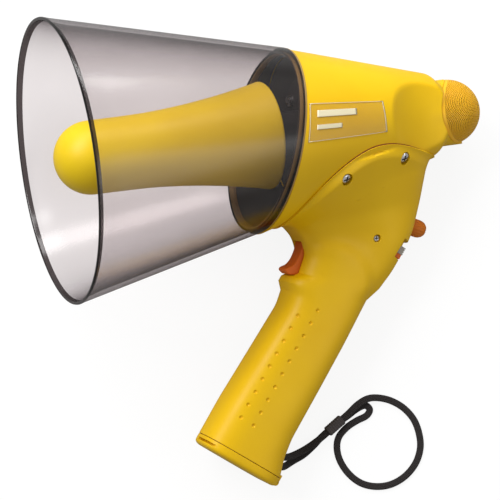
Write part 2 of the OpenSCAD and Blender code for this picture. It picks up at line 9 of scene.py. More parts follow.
import bmesh
import bpy
from mathutils import Matrix, Vector
from mathutils.bvhtree import BVHTree
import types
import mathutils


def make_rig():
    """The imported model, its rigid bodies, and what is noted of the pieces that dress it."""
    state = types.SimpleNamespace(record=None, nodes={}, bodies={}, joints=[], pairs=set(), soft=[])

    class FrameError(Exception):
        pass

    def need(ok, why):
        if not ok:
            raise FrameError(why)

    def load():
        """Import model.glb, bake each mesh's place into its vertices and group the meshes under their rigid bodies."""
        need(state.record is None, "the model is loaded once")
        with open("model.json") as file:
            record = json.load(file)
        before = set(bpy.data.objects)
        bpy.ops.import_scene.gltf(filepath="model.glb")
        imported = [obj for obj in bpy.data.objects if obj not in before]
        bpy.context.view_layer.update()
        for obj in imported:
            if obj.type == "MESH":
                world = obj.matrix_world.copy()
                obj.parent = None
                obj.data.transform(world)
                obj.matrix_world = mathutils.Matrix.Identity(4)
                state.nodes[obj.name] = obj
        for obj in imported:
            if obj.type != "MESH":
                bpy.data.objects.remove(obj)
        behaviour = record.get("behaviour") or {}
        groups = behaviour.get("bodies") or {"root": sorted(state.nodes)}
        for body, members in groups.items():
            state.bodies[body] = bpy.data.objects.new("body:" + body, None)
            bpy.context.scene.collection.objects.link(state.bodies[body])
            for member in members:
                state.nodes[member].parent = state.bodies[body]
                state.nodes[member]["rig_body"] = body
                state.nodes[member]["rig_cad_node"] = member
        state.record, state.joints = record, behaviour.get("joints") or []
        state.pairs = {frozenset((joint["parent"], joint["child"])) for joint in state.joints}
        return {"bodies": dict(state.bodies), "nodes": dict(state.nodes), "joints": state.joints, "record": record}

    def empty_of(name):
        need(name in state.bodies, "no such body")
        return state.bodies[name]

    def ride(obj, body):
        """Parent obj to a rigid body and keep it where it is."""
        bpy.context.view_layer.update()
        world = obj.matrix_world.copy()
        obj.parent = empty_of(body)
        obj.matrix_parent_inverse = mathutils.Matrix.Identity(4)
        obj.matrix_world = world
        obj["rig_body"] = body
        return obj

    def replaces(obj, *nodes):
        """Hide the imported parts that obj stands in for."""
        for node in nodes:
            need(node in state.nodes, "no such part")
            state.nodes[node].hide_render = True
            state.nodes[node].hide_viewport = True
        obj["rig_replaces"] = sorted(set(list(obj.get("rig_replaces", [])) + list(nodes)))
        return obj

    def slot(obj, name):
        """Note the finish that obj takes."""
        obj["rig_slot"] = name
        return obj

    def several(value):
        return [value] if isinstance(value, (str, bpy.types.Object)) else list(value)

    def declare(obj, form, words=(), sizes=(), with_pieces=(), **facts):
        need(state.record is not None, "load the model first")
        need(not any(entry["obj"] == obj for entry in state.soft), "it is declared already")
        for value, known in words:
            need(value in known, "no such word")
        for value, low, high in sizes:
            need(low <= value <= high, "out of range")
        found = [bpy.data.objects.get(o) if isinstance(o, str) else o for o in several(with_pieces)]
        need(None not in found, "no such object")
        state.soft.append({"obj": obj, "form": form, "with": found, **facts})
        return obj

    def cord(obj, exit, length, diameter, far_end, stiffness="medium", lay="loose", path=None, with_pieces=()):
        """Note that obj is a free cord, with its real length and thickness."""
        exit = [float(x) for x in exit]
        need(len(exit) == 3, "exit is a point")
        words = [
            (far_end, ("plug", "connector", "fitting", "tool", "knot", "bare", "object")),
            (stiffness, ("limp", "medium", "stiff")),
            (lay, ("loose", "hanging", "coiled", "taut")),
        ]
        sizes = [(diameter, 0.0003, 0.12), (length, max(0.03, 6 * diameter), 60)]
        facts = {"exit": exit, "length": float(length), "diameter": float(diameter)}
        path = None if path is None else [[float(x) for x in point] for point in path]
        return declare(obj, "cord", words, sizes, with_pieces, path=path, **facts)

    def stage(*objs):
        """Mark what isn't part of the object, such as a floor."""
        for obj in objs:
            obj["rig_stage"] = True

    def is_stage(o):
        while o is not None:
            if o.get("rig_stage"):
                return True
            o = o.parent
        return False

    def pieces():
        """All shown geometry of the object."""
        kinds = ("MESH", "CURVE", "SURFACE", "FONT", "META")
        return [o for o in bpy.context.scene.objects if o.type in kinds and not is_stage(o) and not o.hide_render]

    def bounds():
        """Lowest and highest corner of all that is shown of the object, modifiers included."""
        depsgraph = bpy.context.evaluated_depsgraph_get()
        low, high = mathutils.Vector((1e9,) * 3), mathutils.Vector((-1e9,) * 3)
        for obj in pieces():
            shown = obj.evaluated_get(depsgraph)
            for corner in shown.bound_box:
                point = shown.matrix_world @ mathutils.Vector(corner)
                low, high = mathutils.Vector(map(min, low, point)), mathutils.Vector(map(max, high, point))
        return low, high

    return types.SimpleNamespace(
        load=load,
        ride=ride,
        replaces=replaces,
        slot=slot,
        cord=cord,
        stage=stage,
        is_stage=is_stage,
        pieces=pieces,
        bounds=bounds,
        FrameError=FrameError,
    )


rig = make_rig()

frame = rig.load()
cad_low, cad_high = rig.bounds()

# ---- design frame
MM = 0.001
MOUNT_ABOVE_AXIS = 75.0
mouth = next(m for m in frame["record"]["mounts"] if m["name"] == "mouth")
hinge = next(j for j in frame["joints"] if j["name"] == "cover_swing")
AXIS_X = Vector(mouth["axis"]).normalized()
AXIS_Y = Vector(hinge["axis"]).normalized()
AXIS_Z = AXIS_X.cross(AXIS_Y).normalized()
ORIGIN = Vector(mouth["pos_m"]) - AXIS_Z * MOUNT_ABOVE_AXIS * MM
TURN = Matrix((AXIS_X, AXIS_Y, AXIS_Z)).transposed().to_4x4()
TO_ROW = Matrix.Translation(ORIGIN) @ TURN @ Matrix.Scale(MM, 4)

# driving sizes, in millimetres
MOUTH_R = 76.5
HORN_TAN = math.tan(math.radians(12.1))
JOINT_BACK = 122.6
JOINT_TAN = math.tan(math.radians(15.6))
GASKET = 1.2
WALL = 2.5
JOINT_R = MOUTH_R - JOINT_BACK * HORN_TAN
HOUSING_ANGLE = math.radians(14.7)
HOUSING_TAN = math.tan(HOUSING_ANGLE)
BARREL_R = 19.2
DOME_R = 18.9
DOME_BACK = 236.0
# scoops beside the barrel, flatter here than in the part
SCOOP_X = -222.0
SCOOP_R = 55.0
SCOOP_SHIFT = 150.0
# middle (x, z) and radius of the round edge where the barrel meets the dome
TONGUE = (-241.9, 0.8, 19.4)
LINER_END = -140.0
SWEEP = math.radians(38.6)


def horn_r(x):
    return MOUTH_R + x * HORN_TAN


def cone_r(x):
    return JOINT_R + (x + JOINT_BACK) * HOUSING_TAN


def joint_x(angle, tangent, radius_at, back=0.0):
    """Where the slanted joint plane cuts a cone, at one angle round its axis."""
    x = -JOINT_BACK
    for _ in range(12):
        x = -JOINT_BACK - back - radius_at(x) * math.sin(angle) * tangent
    return x


def smooth_min(a, b, k):
    h = max(k - abs(a - b), 0.0) / k
    return min(a, b) - h * h * k / 4


def smooth_max(a, b, k):
    return -smooth_min(-a, -b, k)


def ramp(x, low, high):
    t = min(max((x - low) / (high - low), 0.0), 1.0)
    return t * t * (3 - 2 * t)


def even_angles(count):
    return [2 * math.pi * i / count for i in range(count)]


def around(x, r, angle):
    """A point at one angle round the horn's axis."""
    return (x, r * math.cos(angle), r * math.sin(angle))


def squared(value, power):
    """A sine or cosine pushed outwards, which squares off a round section."""
    return math.copysign(abs(value) ** power, value)


# ---- mesh helpers
def shade(obj, angle):
    for polygon in obj.data.polygons:
        polygon.use_smooth = True
    obj.data.set_sharp_from_angle(angle=math.radians(angle))


def link(name, mesh, material, smooth):
    obj = bpy.data.objects.new(name, mesh)
    bpy.context.scene.collection.objects.link(obj)
    obj.data.materials.append(material)
    if smooth:
        shade(obj, smooth)
    return obj


def mesh_from(name, points, faces):
    """A mesh of points in the design frame, with its faces turned outwards."""
    mesh = bpy.data.meshes.new(name)
    mesh.from_pydata([tuple(p) for p in points], [], faces)
    mesh.transform(TO_ROW)
    builder = bmesh.new()
    builder.from_mesh(mesh)
    bmesh.ops.recalc_face_normals(builder, faces=builder.faces)
    builder.to_mesh(mesh)
    builder.free()
    return mesh


def grid(rings, closed=True, start_cap=False, end_cap=False):
    """Points and faces of rings of equal count, joined in order."""
    count = len(rings[0])
    points = [p for ring in rings for p in ring]
    faces = []
    last = count if closed else count - 1
    for k in range(len(rings) - 1):
        for i in range(last):
            j = (i + 1) % count
            faces.append((k * count + i, k * count + j, (k + 1) * count + j, (k + 1) * count + i))
    if start_cap:
        faces.append(tuple(range(count)))
    if end_cap:
        faces.append(tuple(range(len(points) - count, len(points))))
    return points, faces


def lathe(name, profile, material, segments, smooth):
    """Turns (radius, x) points round the horn's axis."""
    rings = [[around(x, radius, a) for a in even_angles(segments)] for radius, x in profile]
    mesh = mesh_from(name, *grid(rings))
    merge(mesh)
    return link(name, mesh, material, smooth)


def closed_tube(name, rings, material, smooth):
    """A piece whose last ring joins its first."""
    mesh = mesh_from(name, *grid(rings + [rings[0]]))
    merge(mesh)
    return link(name, mesh, material, smooth)


def capped(rings):
    """Points and faces of rings joined in order and closed at both ends."""
    return grid(rings, start_cap=True, end_cap=True)


def merge(mesh, distance=0.00001):
    builder = bmesh.new()
    builder.from_mesh(mesh)
    bmesh.ops.remove_doubles(builder, verts=builder.verts, dist=distance)
    bmesh.ops.recalc_face_normals(builder, faces=builder.faces)
    builder.to_mesh(mesh)
    builder.free()


def prism_mesh(name, outline, low, high):
    """A side outline of (x, z) points, from y = low to y = high."""
    rings = [[(x, y, z) for x, z in outline] for y in (low, high)]
    return mesh_from(name, *capped(rings))


def apply_modifiers(obj):
    depsgraph = bpy.context.evaluated_depsgraph_get()
    done = bpy.data.meshes.new_from_object(obj.evaluated_get(depsgraph))
    obj.modifiers.clear()
    obj.data = done


def boolean(obj, cutter_mesh, operation="DIFFERENCE"):
    cutter = bpy.data.objects.new("cutter", cutter_mesh)
    bpy.context.scene.collection.objects.link(cutter)
    step = obj.modifiers.new("cut", "BOOLEAN")
    step.operation = operation
    step.solver = "EXACT"
    step.object = cutter
    apply_modifiers(obj)
    bpy.data.objects.remove(cutter)


def thicken(obj, thickness):
    step = obj.modifiers.new("thick", "SOLIDIFY")
    step.thickness = thickness * MM
    step.offset = -1
    apply_modifiers(obj)


def bevel(obj, width, segments, angle=35):
    step = obj.modifiers.new("edge", "BEVEL")
    step.width = width * MM
    step.segments = segments
    step.limit_method = "ANGLE"
    step.angle_limit = math.radians(angle)
    step.harden_normals = False
    apply_modifiers(obj)


def joined_mesh(name, parts):
    """One mesh from several (points, faces) pairs, in the design frame."""
    points, faces = [], []
    for more_points, more_faces in parts:
        start = len(points)
        points += more_points
        faces += [tuple(i + start for i in face) for face in more_faces]
    return mesh_from(name, points, faces)


def turned_part(profile, place, segments=32):
    """(points, faces) of (radius, height) points turned about a place's own z axis, closed at both ends."""
    rings = []
    for radius, height in profile:
        angles = even_angles(segments)
        rings.append([place @ Vector((radius * math.cos(a), radius * math.sin(a), height)) for a in angles])
    return capped(rings)


def box_part(place, low, high):
    """(points, faces) of a box between two corners in a place's own axes."""
    rings = []
    for z in (low[2], high[2]):
        corners = [(low[0], low[1]), (high[0], low[1]), (high[0], high[1]), (low[0], high[1])]
        rings.append([place @ Vector((x, y, z)) for x, y in corners])
    return capped(rings)


def solid(name, parts, material, smooth=35):
    return link(name, joined_mesh(name, parts), material, smooth)


def cut(obj, parts):
    boolean(obj, joined_mesh("cuts", parts))


def spline(points, steps):
    """A smooth line through the points."""
    points = [Vector(p) for p in points]
    line = []
    for k in range(len(points) - 1):
        p0, p1 = points[max(k - 1, 0)], points[k]
        p2, p3 = points[k + 1], points[min(k + 2, len(points) - 1)]
        for i in range(steps):
            u = i / steps
            bend = (2 * p0 - 5 * p1 + 4 * p2 - p3) * u * u + (3 * p1 - p0 - 3 * p2 + p3) * u ** 3
            line.append(0.5 * (2 * p1 + (p2 - p0) * u + bend))
    line.append(points[-1])
    return line


def smooth_outline(points, steps):
    """A smooth line through flat (x, z) points."""
    return [(p.x, p.y) for p in spline([Vector((x, z, 0)) for x, z in points], steps)]


# ---- materials
class Nodes:
    """A short way to write a material's nodes."""

    def __init__(self, name):
        self.material = bpy.data.materials.new(name)
        self.material.use_nodes = True
        self.tree = self.material.node_tree
        self.tree.nodes.clear()
        self.out = self.tree.nodes.new("ShaderNodeOutputMaterial")

    def add(self, kind, settings=None, **inputs):
        node = self.tree.nodes.new("ShaderNode" + kind)
        for key, value in (settings or {}).items():
            setattr(node, key, value)
        for key, value in inputs.items():
            self.feed(node.inputs[key.replace("_", " ")], value)
        return node

    def feed(self, socket, value):
        if isinstance(value, bpy.types.NodeSocket):
            self.tree.links.new(value, socket)
        else:
            socket.default_value = value

    def math(self, operation, first, second=None):
        node = self.tree.nodes.new("ShaderNodeMath")
        node.operation = operation
        self.feed(node.inputs[0], first)
        if second is not None:
            self.feed(node.inputs[1], second)
        return node.outputs[0]

    def place(self):
        return self.add("TexCoord").outputs["Object"]

    def noise(self, scale, detail=3.0, place=None):
        node = self.add("TexNoise", Scale=scale, Detail=detail, Vector=place or self.place())
        return node.outputs["Fac"]

    def mix(self, factor, first, second):
        node = self.tree.nodes.new("ShaderNodeMix")
        node.data_type = "RGBA"
        self.feed(node.inputs[0], factor)
        self.feed(node.inputs[6], first)
        self.feed(node.inputs[7], second)
        return node.outputs[2]

    def spread(self, value, low, high, out_low=0.0, out_high=1.0):
        node = self.add("MapRange")
        for index, item in enumerate((value, low, high, out_low, out_high)):
            self.feed(node.inputs[index], item)
        return node.outputs[0]

    def finish(self, surface):
        self.tree.links.new(surface, self.out.inputs["Surface"])
        return self.material


def colour(red, green, blue):
    """Linear colour from display values 0 to 255."""
    def linear(v):
        v /= 255
        return v / 12.92 if v <= 0.04045 else ((v + 0.055) / 1.055) ** 2.4
    return (linear(red), linear(green), linear(blue), 1.0)


SOFT_EDGE = 0.4


def moulded(name, base, shade_colour, roughness, grain=900.0, grain_depth=0.12):
    """Moulded plastic: mottled pigment, fine grain, softened edges and a slightly uneven gloss."""
    n = Nodes(name)
    cloud = n.noise(22.0, 4.0)
    pigment = n.mix(n.spread(cloud, 0.35, 0.7), colour(*base), colour(*shade_colour))
    edge = n.add("Bevel", {"samples": 4}, Radius=SOFT_EDGE * MM)
    fine = n.noise(grain, 2.0)
    bump = n.add("Bump", Strength=grain_depth, Distance=0.0001, Height=fine, Normal=edge.outputs[0])
    gloss = n.spread(n.noise(60.0, 3.0), 0.3, 0.7, roughness - 0.05, roughness + 0.06)
    surface = n.add("BsdfPrincipled", Base_Color=pigment, Roughness=gloss, Normal=bump.outputs[0])
    surface.inputs["Specular IOR Level"].default_value = 0.3
    return n.finish(surface.outputs[0])


def brushed_metal(name, base, roughness):
    """Metal with fine uneven streaks in its tint, gloss and surface."""
    n = Nodes(name)
    streaks = n.noise(500.0, 3.0)
    tint = n.mix(streaks, base, tuple(c * 0.8 for c in base[:3]) + (1.0,))
    bump = n.add("Bump", Strength=0.08, Distance=0.0001, Height=streaks)
    rough = n.spread(streaks, 0.2, 0.8, roughness, roughness + 0.12)
    surface = n.add("BsdfPrincipled", Base_Color=tint, Roughness=rough, Normal=bump.outputs[0])
    surface.inputs["Metallic"].default_value = 1.0
    return n.finish(surface.outputs[0])


def smoked_clear(name, tint, edge_tint, gloss=0.22):
    """Thin clear plastic: light passes straight through, darker where the wall is seen edge on."""
    n = Nodes(name)
    tint, edge_tint = colour(*tint), colour(*edge_tint)
    facing = n.add("LayerWeight", Blend=0.5).outputs["Facing"]
    haze = n.spread(n.noise(9.0, 3.0), 0.3, 0.75)
    body = n.mix(n.math("POWER", facing, 2.6), tint, edge_tint)
    body = n.mix(n.math("MULTIPLY", haze, 0.08), body, edge_tint)
    through = n.add("BsdfTransparent", Color=body)
    shine = n.add("BsdfGlossy", Roughness=gloss, Color=(1, 1, 1, 1))
    mirror = n.math("ADD", n.math("MULTIPLY", n.math("POWER", facing, 5.0), 0.7), 0.035)
    mixed = n.add("MixShader")
    n.feed(mixed.inputs[0], mirror)
    n.feed(mixed.inputs[1], through.outputs[0])
    n.feed(mixed.inputs[2], shine.outputs[0])
    return n.finish(mixed.outputs[0])


def woven(name, base, thread=0.55):
    """Flat woven strap: diagonal threads across its width (UV, in millimetres)."""
    n = Nodes(name)
    flat = n.add("SeparateXYZ", Vector=n.add("UVMap", {"uv_map": "flat"}).outputs[0])
    waves = []
    for sign in (1.0, -1.0):
        slant = n.math("ADD", flat.outputs[0], n.math("MULTIPLY", flat.outputs[1], sign))
        waves.append(n.math("SINE", n.math("MULTIPLY", slant, 2 * math.pi / thread / 2)))
    weave = n.math("MULTIPLY", waves[0], waves[1])
    light = tuple(c * 2.2 + 0.003 for c in base[:3]) + (1.0,)
    tone = n.mix(n.spread(weave, -1.0, 1.0), base, light)
    bump = n.add("Bump", Strength=0.7, Distance=0.00025, Height=weave)
    surface = n.add("BsdfPrincipled", Base_Color=tone, Roughness=0.85, Normal=bump.outputs[0])
    surface.inputs["Sheen Weight"].default_value = 0.08
    return n.finish(surface.outputs[0])


yellow = moulded("yellow_shell", (238, 192, 4), (232, 184, 2), 0.42)
yellow_cone = moulded("yellow_cone", (228, 194, 20), (220, 184, 14), 0.45)
orange = moulded("orange_part", (222, 108, 26), (210, 98, 20), 0.45, 700.0, 0.2)
knob_orange = moulded("knob_orange", (218, 122, 10), (206, 110, 8), 0.4)
switch_grey = moulded("switch_grey", (172, 166, 156), (158, 152, 142), 0.5, 700.0, 0.2)
gasket_tan = moulded("gasket_tan", (168, 136, 84), (150, 120, 72), 0.55)
dark = moulded("dark_inside", (66, 60, 60), (50, 45, 46), 0.5)
rubber = moulded("gasket_rubber", (52, 40, 36), (40, 32, 30), 0.7)
black = moulded("black_part", (30, 28, 28), (22, 20, 20), 0.5)
slider_grey = moulded("slider_grey", (74, 68, 68), (60, 55, 55), 0.5, 600.0, 0.25)
board_green = moulded("board_green", (24, 84, 50), (18, 70, 40), 0.45)
cell_jacket = moulded("cell_jacket", (70, 72, 80), (50, 52, 58), 0.3)
foam_black = moulded("foam_black", (38, 24, 18), (24, 16, 12), 0.9, 1500.0, 0.9)
film = moulded("diaphragm_film", (214, 202, 178), (200, 188, 166), 0.4)
seam_dark = moulded("seam_dark", (120, 52, 16), (96, 40, 12), 0.7)
# painted shade: dark orange seen through the grille's holes, standing in for the shadow inside them
painted_hole_shade = moulded("painted_hole_shade", (92, 34, 10), (70, 26, 8), 0.8)
chrome = brushed_metal("screw_chrome", (0.86, 0.86, 0.88, 1.0), 0.22)
plain_steel = brushed_metal("plain_steel", (0.7, 0.7, 0.72, 1.0), 0.3)
clear = smoked_clear("smoked_horn", (247, 244, 244), (128, 118, 122))
rim_clear = smoked_clear("smoked_rim", (84, 76, 76), (34, 29, 29), 0.15)
label_film = smoked_clear("label_film", (254, 253, 251), (244, 240, 230), 0.3)
label_ink = moulded("label_ink", (240, 230, 196), (232, 222, 186), 0.4)
mesh_yellow = moulded("mesh_yellow", (250, 192, 40), (240, 180, 30), 0.38)
strap_black = woven("strap_black", colour(25, 20, 20))

# ---- camera and light
CAMERA_AT = (224.7, 850.4, 36.8)
CAMERA_RIGHT = (-0.9225, 0.3700, -0.1097)
CAMERA_UP = (-0.1416, -0.0600, 0.9881)
CAMERA_LENS = 118.8


def add_camera():
    data = bpy.data.cameras.new("camera")
    data.lens = CAMERA_LENS
    data.sensor_width = 36
    data.clip_start = 0.05
    obj = bpy.data.objects.new("camera", data)
    bpy.context.scene.collection.objects.link(obj)
    turn = TO_ROW.to_3x3() * (1 / MM)
    right = (turn @ Vector(CAMERA_RIGHT)).normalized()
    up = (turn @ Vector(CAMERA_UP)).normalized()
    back = right.cross(up)
    place = Matrix((right, up, back)).transposed().to_4x4()
    place.translation = TO_ROW @ Vector(CAMERA_AT)
    obj.matrix_world = place
    bpy.context.scene.camera = obj


def add_area(name, at, target, size, power, tint=(1.0, 1.0, 1.0)):
    data = bpy.data.lights.new(name, "AREA")
    data.shape = "RECTANGLE"
    data.size, data.size_y = size
    data.energy = power
    data.color = tint
    obj = bpy.data.objects.new(name, data)
    obj.location = at
    obj.rotation_euler = (Vector(target) - Vector(at)).to_track_quat("-Z", "Y").to_euler()
    bpy.context.scene.collection.objects.link(obj)


def add_world():
    world = bpy.data.worlds.new("studio")
    bpy.context.scene.world = world
    world.use_nodes = True
    tree = world.node_tree
    tree.nodes.clear()
    out = tree.nodes.new("ShaderNodeOutputWorld")
    path = tree.nodes.new("ShaderNodeLightPath")
    seen = tree.nodes.new("ShaderNodeBackground")
    seen.inputs["Color"].default_value = (1, 1, 1, 1)
    seen.inputs["Strength"].default_value = 1.0
    room = tree.nodes.new("ShaderNodeBackground")
    room.inputs["Color"].default_value = (1.0, 0.99, 0.97, 1)
    room.inputs["Strength"].default_value = 0.4
    mix = tree.nodes.new("ShaderNodeMixShader")
    tree.links.new(path.outputs["Is Camera Ray"], mix.inputs[0])
    tree.links.new(room.outputs[0], mix.inputs[1])
    tree.links.new(seen.outputs[0], mix.inputs[2])
    tree.links.new(mix.outputs[0], out.inputs[0])


def add_floor():
    """Pale floor: seen bright, with only a faint shadow, but throwing little light back."""
    mesh = bpy.data.meshes.new("floor")
    mesh.from_pydata([(-3, -3, 0), (3, -3, 0), (3, 3, 0), (-3, 3, 0)], [], [(0, 1, 2, 3)])
    n = Nodes("floor_paper")
    paper = n.mix(n.noise(4.0, 2.0), (0.93, 0.93, 0.93, 1), (0.96, 0.96, 0.96, 1))
    faint = n.add("BsdfDiffuse", Color=(0.12, 0.12, 0.12, 1))
    glow = n.add("Emission", Color=paper, Strength=0.94)
    seen = n.add("AddShader")
    n.feed(seen.inputs[0], faint.outputs[0])
    n.feed(seen.inputs[1], glow.outputs[0])
    grey = n.add("BsdfDiffuse", Color=(0.3, 0.3, 0.3, 1))
    both = n.add("MixShader")
    n.feed(both.inputs[0], n.add("LightPath").outputs["Is Camera Ray"])
    n.feed(both.inputs[1], grey.outputs[0])
    n.feed(both.inputs[2], seen.outputs[0])
    floor = link("floor", mesh, n.finish(both.outputs[0]), 0)
    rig.stage(floor)


add_camera()
add_world()
add_floor()
add_area("key_softbox", (-0.55, 0.55, 0.75), (-0.02, 0.0, 0.06), (0.7, 0.5), 8.8)
add_area("top_softbox", (0.1, 0.75, 0.45), (-0.02, 0.05, 0.08), (0.9, 0.25), 5.4)
add_area("fill_card", (0.7, -0.35, 0.7), (0.0, 0.0, 0.05), (0.5, 0.5), 1.0)
bpy.context.scene.view_settings.view_transform = "Standard"

# ---- wrist strap
STRAP_W = 4.0
STRAP_T = 1.5
STRAP_ROUTE = [
    (-18.8, -117.3, 13.9), (-15.7, -119.3, 12), (-10.5, -119.3, 7.5), (-3.5, -117.7, 4), (3, -115.2, 3.5),
    (9, -112.2, 3.6), (17.5, -107.3, 3.6), (26.2, -102.3, 3.4), (33, -98, 3), (39.5, -95.8, 2.8),
    (46, -96.5, 1.4), (53, -99.5, 0.9), (59.5, -105, 0.9), (64, -112.5, 0.9), (65.5, -121, 0.9),
    (64.5, -129.5, 0.9), (60, -137.5, 0.9), (52.5, -143.5, 0.9), (43.5, -146.5, 0.9), (34.5, -146, 0.9),
    (26.5, -142.5, 0.9), (20.5, -136, 0.9), (17, -128, 0.9), (16.5, -120.5, 0.9), (18.8, -114.3, 0.9),
    (24.5, -109.7, 0.9), (31, -107, 0.9), (37, -105.3, 0.9), (39.7, -102.2, 0.9), (37.5, -99.3, 0.9),
    (32.5, -100.3, 0.9), (26.2, -103.3, 1.4), (17.5, -107.3, 1.7), (9, -112.2, 1.7), (3, -116.5, 1.2),
    (-3.5, -120.3, 1.2), (-10.5, -122.5, 3.8), (-16.8, -124.4, 9.3), (-19.3, -123.7, 12.1),
    (-22.1, -121.3, 13.8)]


def strap_frames(line):
    for k, point in enumerate(line):
        ahead = line[min(k + 1, len(line) - 1)] - line[max(k - 1, 0)]
        flat = Vector((ahead.x, ahead.y, 0)).normalized()
        across = Vector((-flat.y, flat.x, 0))
        yield point, across, ahead.normalized().cross(across)


def make_strap():
    line = spline(STRAP_ROUTE, 8)
    ring_n = 16
    half_w, half_t = STRAP_W / 2, STRAP_T / 2
    rings, lengths, run = [], [], 0.0
    for k, (point, across, up) in enumerate(strap_frames(line)):
        run += (line[k] - line[k - 1]).length if k else 0.0
        lengths.append(run)
        ring = []
        for a in even_angles(ring_n):
            wide = squared(math.cos(a), 0.45) * half_w
            thick = squared(math.sin(a), 0.6) * half_t
            ring.append((point + across * wide + up * thick) * MM)
        rings.append(ring)
    points, faces = capped(rings)
    mesh = bpy.data.meshes.new("wrist_strap_weave")
    mesh.from_pydata(points, [], faces)
    layer = mesh.uv_layers.new(name="flat")
    for polygon in mesh.polygons:
        for corner in polygon.loop_indices:
            vertex = mesh.loops[corner].vertex_index
            ring_index, side = divmod(vertex, ring_n)
            a = 2 * math.pi * side / ring_n
            layer.data[corner].uv = (lengths[ring_index], math.cos(a) * half_w)
    strap = link("wrist_strap_weave", mesh, strap_black, 60)
    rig.ride(strap, "body")
    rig.replaces(strap, "wrist_strap")
    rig.slot(strap, "strap_weave")
    return strap, [p * MM for p in line], run * MM


def make_slider():
    """Ribbed slider: a rounded tube of flat section with grooves round it."""
    length, half_w, half_t, hole_w, hole_t = 11.2, 3.1, 2.7, 2.35, 2.0
    middle = Vector((17.5, -107.3, 2.75))
    turn = Matrix.Rotation(math.radians(30), 3, "Z")
    ribs = 8

    def ring(x, w, t, power):
        out = []
        for a in even_angles(40):
            y = squared(math.cos(a), power) * w
            z = squared(math.sin(a), power) * t
            out.append((middle + turn @ Vector((x, y, z))) * MM)
        return out

    rings = []
    steps = 96
    for k in range(steps + 1):
        x = -length / 2 + length * k / steps
        end = min(k, steps - k) / steps * length
        dip = 0.16 * (0.5 - 0.5 * math.cos(2 * math.pi * ribs * k / steps)) ** 2 if 0.8 < end else 0.0
        taper = 0.45 * (1 - min(end / 0.7, 1.0)) ** 2
        rings.append(ring(x, half_w - dip - taper, half_t - dip - taper, 0.55))
    for k in range(13):
        rings.append(ring(length / 2 - length * k / 12, hole_w, hole_t, 0.5))
    rings.append(rings[0])
    mesh = bpy.data.meshes.new("strap_slider_ribbed")
    points, faces = grid(rings)
    mesh.from_pydata(points, [], faces)
    merge(mesh)
    slider = link("strap_slider_ribbed", mesh, slider_grey, 50)
    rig.ride(slider, "body")
    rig.replaces(slider, "strap_slider")
    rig.slot(slider, "slider_plastic")
    return slider


strap, strap_path, strap_length = make_strap()
slider = make_slider()
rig.cord(strap, exit=strap_path[0], length=round(strap_length, 3), diameter=STRAP_W * MM, far_end="object",
        stiffness="limp", lay="loose", path=strap_path, with_pieces=[slider])

# ---- horn
SEGMENTS = 192
ANGLES = even_angles(SEGMENTS)


def make_horn():
    """Clear cone with a rounded lip at the mouth and a slanted rear edge."""
    lip = [(MOUTH_R - 0.6, 0.0), (MOUTH_R - 0.15, -0.2), (MOUTH_R, -0.8)]
    lip_back = [(MOUTH_R - 1.8, -0.8), (MOUTH_R - 1.6, -0.2), (MOUTH_R - 1.1, 0.0)]
    rings = [[around(x, r, a) for a in ANGLES] for r, x in lip]
    steps = 40
    for k in range(1, steps + 1):
        ring = []
        for a in ANGLES:
            x = joint_x(a, JOINT_TAN, horn_r) * k / steps
            ring.append(around(x, horn_r(x), a))
        rings.append(ring)
    for k in range(steps, 0, -1):
        ring = []
        for a in ANGLES:
            x = joint_x(a, JOINT_TAN, horn_r) * k / steps
            inner = horn_r(x) - 1.6 - (WALL - 1.6) * ramp(-x, 0.0, 14.0)
            ring.append(around(x, inner, a))
        rings.append(ring)
    rings += [[around(x, r, a) for a in ANGLES] for r, x in lip_back]
    horn = closed_tube("horn_shell", rings, clear, 50)
    horn.data.materials.append(rim_clear)
    edge_faces = {0, 1, 2 + steps, 2 * steps + 2, 2 * steps + 3, 2 * steps + 4, 2 * steps + 5}
    for polygon in horn.data.polygons:
        if polygon.index // SEGMENTS in edge_faces:
            polygon.material_index = 1
    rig.ride(horn, "body")
    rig.replaces(horn, "clear_horn")
    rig.slot(horn, "smoked_clear")


def make_gasket():
    rings = []
    for inset, back in ((0.0, 0.05), (0.0, GASKET - 0.05), (WALL + 1.2, GASKET - 0.05), (WALL + 1.2, 0.05)):
        ring = []
        for a in ANGLES:
            x = joint_x(a, JOINT_TAN, horn_r, back)
            r = horn_r(-JOINT_BACK) + (x + JOINT_BACK) * HORN_TAN - inset - 0.1
            ring.append(around(x, r, a))
        rings.append(ring)
    seal = closed_tube("joint_seal", rings, gasket_tan, 30)
    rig.ride(seal, "body")
    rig.replaces(seal, "joint_gasket")
    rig.slot(seal, "dark_rubber")


def joint_ring(name, material, ahead, behind, inset, thick):
    """A ring inside the horn that follows the slanted joint, between two distances ahead of it."""
    rings = []
    for gap, distance in ((inset, behind), (inset, ahead), (inset + thick, ahead), (inset + thick, behind)):
        ring = []
        for a in ANGLES:
            x = joint_x(a, JOINT_TAN, horn_r, -distance)
            r = horn_r(x) - gap
            ring.append(around(x, r, a))
        rings.append(ring)
    piece = closed_tube(name, rings, material, 30)
    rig.ride(piece, "body")
    return piece


def make_spigot():
    """Lip of the housing inside the horn, a seal ring ahead of it and the dark lining behind."""
    lip = joint_ring("joint_spigot", gasket_tan, 2.4, 0.1, WALL + 0.15, 1.6)
    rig.slot(lip, "yellow_plastic")
    ring = joint_ring("joint_o_ring", rubber, 3.0, 2.45, WALL + 0.1, 1.0)
    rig.slot(ring, "dark_rubber")
    rings = []
    for inset, end in ((0.15, False), (0.15, True), (0.9, True), (0.9, False)):
        row = []
        for a in ANGLES:
            x = LINER_END if end else joint_x(a, JOINT_TAN, cone_r, GASKET + 0.3)
            r = cone_r(x) - WALL - inset
            row.append(around(x, r, a))
        rings.append(row)
    lining = closed_tube("housing_lining", rings, dark, 30)
    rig.ride(lining, "body")
    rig.slot(lining, "dark_plastic")


